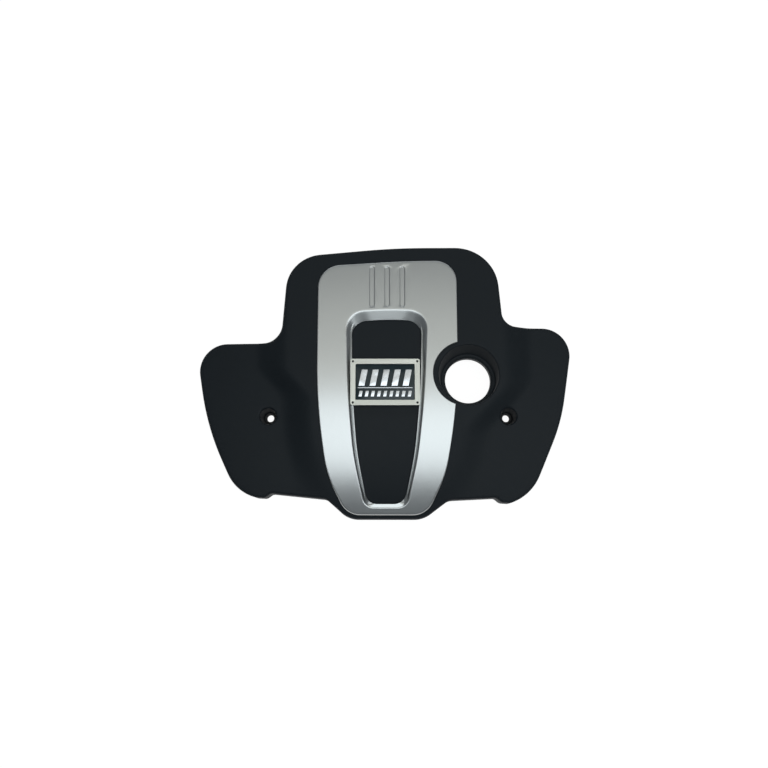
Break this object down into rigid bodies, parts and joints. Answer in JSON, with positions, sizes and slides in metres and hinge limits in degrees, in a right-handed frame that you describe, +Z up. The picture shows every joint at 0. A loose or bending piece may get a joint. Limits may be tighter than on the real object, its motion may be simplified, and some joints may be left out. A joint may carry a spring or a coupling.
{
  "type": "engine cover",
  "caption": "Black moulded engine cover with raised spine, side lobes, silver trim frame, badge in the window, oil filler opening and bolt wells.",
  "frame": {"origin": "middle of the cover's outline, at the height of the skirt's rim, on which it rests", "axes": "+X across the engine to the side of the oil filler, +Y to the rear of the cover, +Z up"},
  "size_m": [0.55, 0.4016, 0.0662],
  "materials": {
    "shell_black": "fine-grained black moulding",
    "trim_silver": "satin silver paint",
    "badge_cream": "pale cream plastic",
    "badge_dark": "dark glossy plate",
    "badge_chrome": "chrome-plated relief",
    "pin_black": "dark pins",
    "rubber_black": "soft black rubber",
    "spring_steel": "plain spring steel"
  },
  "bodies": {
    "root": {"cover_shell": "shell_black", "silver_trim": "trim_silver", "trim_retainers": "spring_steel", "badge_frame": "badge_cream", "badge_panel": "badge_dark", "badge_relief": "badge_chrome", "badge_pins": "pin_black", "bolt_grommet_left": "rubber_black", "bolt_grommet_right": "rubber_black", "rear_buffer_left": "rubber_black", "rear_buffer_right": "rubber_black"}
  },
  "joints": []
}
